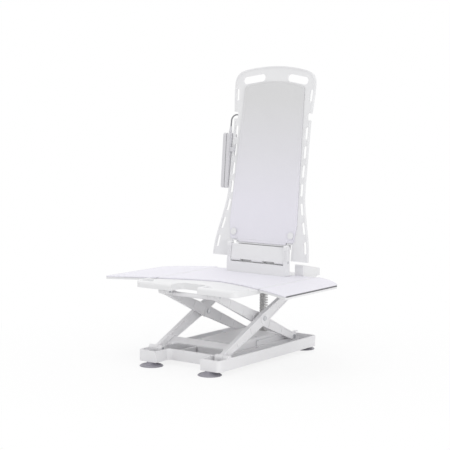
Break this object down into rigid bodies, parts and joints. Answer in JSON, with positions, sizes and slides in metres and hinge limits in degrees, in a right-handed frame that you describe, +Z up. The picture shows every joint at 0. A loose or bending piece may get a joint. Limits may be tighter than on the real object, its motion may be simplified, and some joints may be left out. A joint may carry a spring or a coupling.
{
  "type": "bath lift",
  "caption": "Bath lift with a suction-cup base, a scissor linkage raised by a push chain, a flat seat with hinged side flaps, a reclining slotted backrest and a corded handset.",
  "frame": {"origin": "on the bath floor under the middle of the base", "axes": "+X to the bather's left and the viewer's right, +Y to the rear behind the backrest, +Z up"},
  "size_m": [0.71, 0.622, 0.9619],
  "materials": {
    "white_plastic": "satin moulded plastic",
    "grey_plastic": "fine grained plastic",
    "pad": "smooth washable foam cover",
    "chain_plastic": "smooth plastic",
    "steel": "stainless",
    "rail": "plain drawn channel",
    "cup_rubber": "soft translucent rubber",
    "motor": "dark paint",
    "dark_rubber": "matt",
    "board": "coated laminate",
    "battery": "sleeved cell pack",
    "grey_key": "satin",
    "red_key": "satin"
  },
  "bodies": {
    "base": {"base_frame": "grey_plastic", "suction_cups": "cup_rubber", "cup_studs": "steel", "front_pivot_pins": "steel", "lower_guide_rails": "rail", "lower_rail_rivets": "steel", "drive_cover": "grey_plastic", "cover_screws": "steel", "gearmotor": "motor", "chain_guide": "grey_plastic", "lift_chain": "chain_plastic", "stowed_chain": "chain_plastic"},
    "sprocket": {"drive_sprocket": "steel"},
    "chain_end": {"chain_head": "chain_plastic"},
    "outer_arms": {"outer_arm_left": "grey_plastic", "outer_arm_right": "grey_plastic", "outer_cross_plate": "grey_plastic", "centre_pivot_pins": "steel", "centre_spacers": "chain_plastic", "upper_glide_pins": "steel"},
    "upper_glides": {"upper_glide_blocks": "chain_plastic"},
    "inner_arms": {"inner_arm_left": "grey_plastic", "inner_arm_right": "grey_plastic", "inner_cross_tube": "steel", "lower_glide_pins": "steel"},
    "lower_glides": {"lower_glide_blocks": "chain_plastic"},
    "seat": {"seat_shell": "white_plastic", "seat_pivot_pins": "steel", "upper_guide_rails": "rail", "upper_rail_rivets": "steel", "seat_cover": "pad", "hinge_bracket": "white_plastic", "seat_screws": "steel", "hinge_pins": "steel", "rear_rail_left": "white_plastic", "rear_rail_right": "white_plastic", "flap_hinge_pins": "steel"},
    "left_flap": {"flap_left": "white_plastic", "flap_cover_left": "pad"},
    "right_flap": {"flap_right": "white_plastic", "flap_cover_right": "pad"},
    "backrest": {"back_panel": "white_plastic", "back_cover": "pad", "cover_buttons": "white_plastic", "back_carrier": "white_plastic", "carrier_screws": "steel", "handset_back_shell": "white_plastic", "handset_front_shell": "white_plastic", "handset_gasket": "dark_rubber", "handset_board": "board", "handset_battery": "battery", "handset_hook": "white_plastic", "handset_gland": "dark_rubber", "handset_cord": "dark_rubber", "cord_clips": "white_plastic", "cord_socket": "dark_rubber"},
    "up_key": {"key_up": "grey_key"},
    "down_key": {"key_down": "grey_key"},
    "stop_key": {"key_stop": "red_key"}
  },
  "joints": [
    {"name": "lift", "type": "hinge", "parent": "base", "child": "outer_arms", "pos_m": [0, -0.226, 0.048], "axis": [1, 0, 0], "range_deg": [-19.3, 32.2]},
    {"name": "scissor", "type": "hinge", "parent": "outer_arms", "child": "inner_arms", "pos_m": [0, 0.00074, 0.14331], "axis": [1, 0, 0], "range_deg": [-64.6, 38.8]},
    {"name": "seat_level", "type": "hinge", "parent": "inner_arms", "child": "seat", "pos_m": [0, -0.226, 0.23863], "axis": [1, 0, 0], "range_deg": [-19.4, 32.3]},
    {"name": "upper_glide", "type": "hinge", "parent": "outer_arms", "child": "upper_glides", "pos_m": [0, 0.22748, 0.23863], "axis": [1, 0, 0], "range_deg": [-32.3, 19.4]},
    {"name": "lower_glide", "type": "hinge", "parent": "inner_arms", "child": "lower_glides", "pos_m": [0, 0.22748, 0.048], "axis": [1, 0, 0], "range_deg": [-19.4, 32.3]},
    {"name": "chain_push", "type": "slide", "parent": "base", "child": "chain_end", "axis": [0, 0, 1], "range_m": [-0.1399, 0.2333], "deforming": ["lift_chain"]},
    {"name": "sprocket_turn", "type": "hinge", "parent": "base", "child": "sprocket", "pos_m": [0, 0.22173, 0.03533], "axis": [1, 0, 0], "range_deg": [-825, 495]},
    {"name": "left_flap_hinge", "type": "hinge", "parent": "seat", "child": "left_flap", "pos_m": [-0.203, 0, 0.25913], "axis": [0, 1, 0], "range_deg": [0, 85]},
    {"name": "right_flap_hinge", "type": "hinge", "parent": "seat", "child": "right_flap", "pos_m": [0.203, 0, 0.25913], "axis": [0, -1, 0], "range_deg": [0, 85]},
    {"name": "recline", "type": "hinge", "parent": "seat", "child": "backrest", "pos_m": [0, 0.158, 0.30813], "axis": [-1, 0, 0], "range_deg": [-90, 40]},
    {"name": "up_key_press", "type": "slide", "parent": "backrest", "child": "up_key", "axis": [1, 0, 0], "range_m": [0, 0.0015], "stiffness_N_per_m": 600, "springref_m": -0.0005},
    {"name": "down_key_press", "type": "slide", "parent": "backrest", "child": "down_key", "axis": [1, 0, 0], "range_m": [0, 0.0015], "stiffness_N_per_m": 600, "springref_m": -0.0005},
    {"name": "stop_key_press", "type": "slide", "parent": "backrest", "child": "stop_key", "axis": [1, 0, 0], "range_m": [0, 0.0015], "stiffness_N_per_m": 600, "springref_m": -0.0005}
  ],
  "couplings": [
    {"joint": "scissor", "follows": "lift", "ratio": -2},
    {"joint": "seat_level", "follows": "lift", "ratio": 1},
    {"joint": "upper_glide", "follows": "lift", "ratio": -1},
    {"joint": "lower_glide", "follows": "lift", "ratio": 1},
    {"joint": "chain_push", "follows": "lift", "m_per_rad": 0.4149},
    {"joint": "sprocket_turn", "follows": "lift", "ratio": -25.558}
  ]
}
